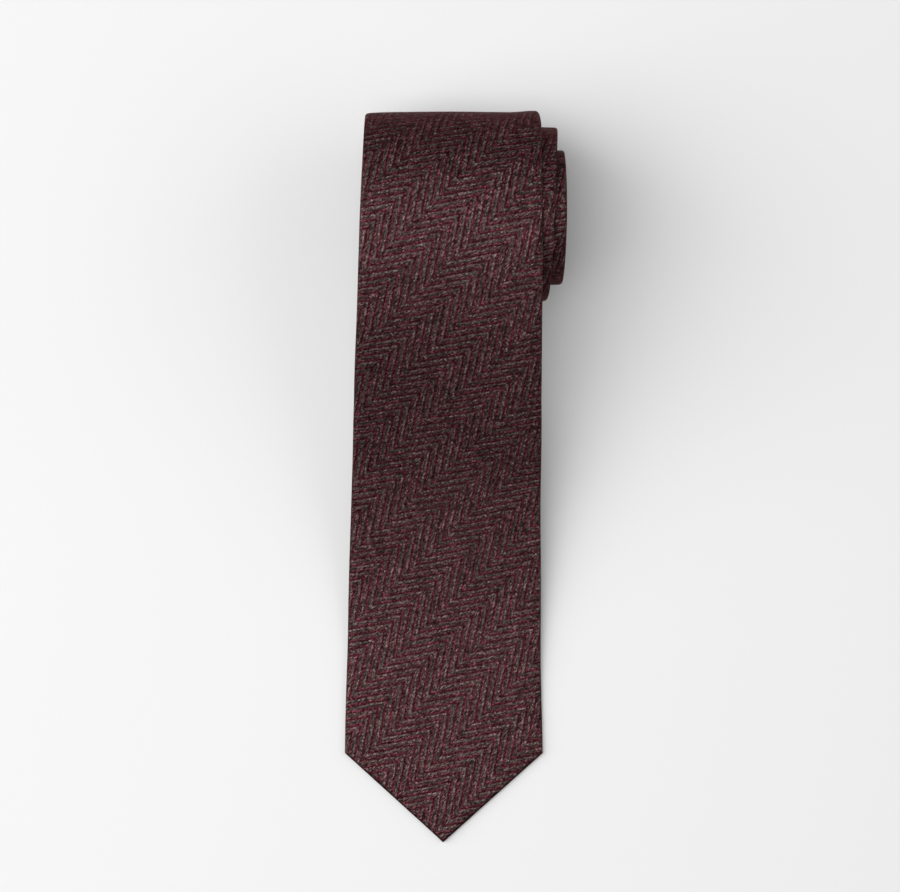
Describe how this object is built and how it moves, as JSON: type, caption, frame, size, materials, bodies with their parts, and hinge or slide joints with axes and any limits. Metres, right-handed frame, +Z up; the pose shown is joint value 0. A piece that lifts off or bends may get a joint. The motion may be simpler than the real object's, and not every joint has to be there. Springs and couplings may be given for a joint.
{
  "type": "necktie",
  "caption": "Lined pointed necktie in burgundy and grey herringbone, loosely rolled from its tail, with the wide blade laid over the roll and down to its point.",
  "frame": {"origin": "centre of the bounding box, on the surface that the rolled tie lies on", "axes": "+Z up from the table; +Y from the blade's point towards the roll; +X to the right, the side on which the inner turns show"},
  "size_m": [0.0888, 0.294, 0.0681],
  "materials": {
    "herringbone_wool": "matte woven herringbone in burgundy and marled grey wool",
    "interlining_wool": "brushed natural wool",
    "satin_tipping": "satin",
    "sewing_thread": "twisted burgundy thread",
    "white_thread": "twisted white thread",
    "label_ribbon": "woven satin ribbon, blank",
    "tag_ribbon": "printed-tape satin, blank"
  },
  "bodies": {
    "roll": {"blade_shell_upper": "herringbone_wool", "neck_shell": "herringbone_wool", "tail_shell": "herringbone_wool", "blade_interlining_upper": "interlining_wool", "tail_interlining": "interlining_wool", "tail_tipping": "satin_tipping", "tail_tipping_stitches": "sewing_thread", "slip_stitch_upper": "sewing_thread", "tail_bar_tack": "sewing_thread", "blade_neck_seam": "sewing_thread", "neck_tail_seam": "sewing_thread", "interlining_seam": "white_thread"},
    "blade": {"blade_shell_lower": "herringbone_wool", "blade_interlining_lower": "interlining_wool", "blade_tipping": "satin_tipping", "blade_tipping_stitches": "sewing_thread", "slip_stitch_lower": "sewing_thread", "blade_bar_tack": "sewing_thread", "keeper_loop": "herringbone_wool", "keeper_stitches": "sewing_thread", "woven_label": "label_ribbon", "label_stitches": "sewing_thread", "care_tag": "tag_ribbon", "care_tag_stitches": "sewing_thread"}
  },
  "joints": [
    {"name": "blade_lift", "type": "hinge", "parent": "roll", "child": "blade", "pos_m": [-0.00225, 0.076, 0.06085], "axis": [-1, 0, 0], "range_deg": [0, 75]}
  ]
}
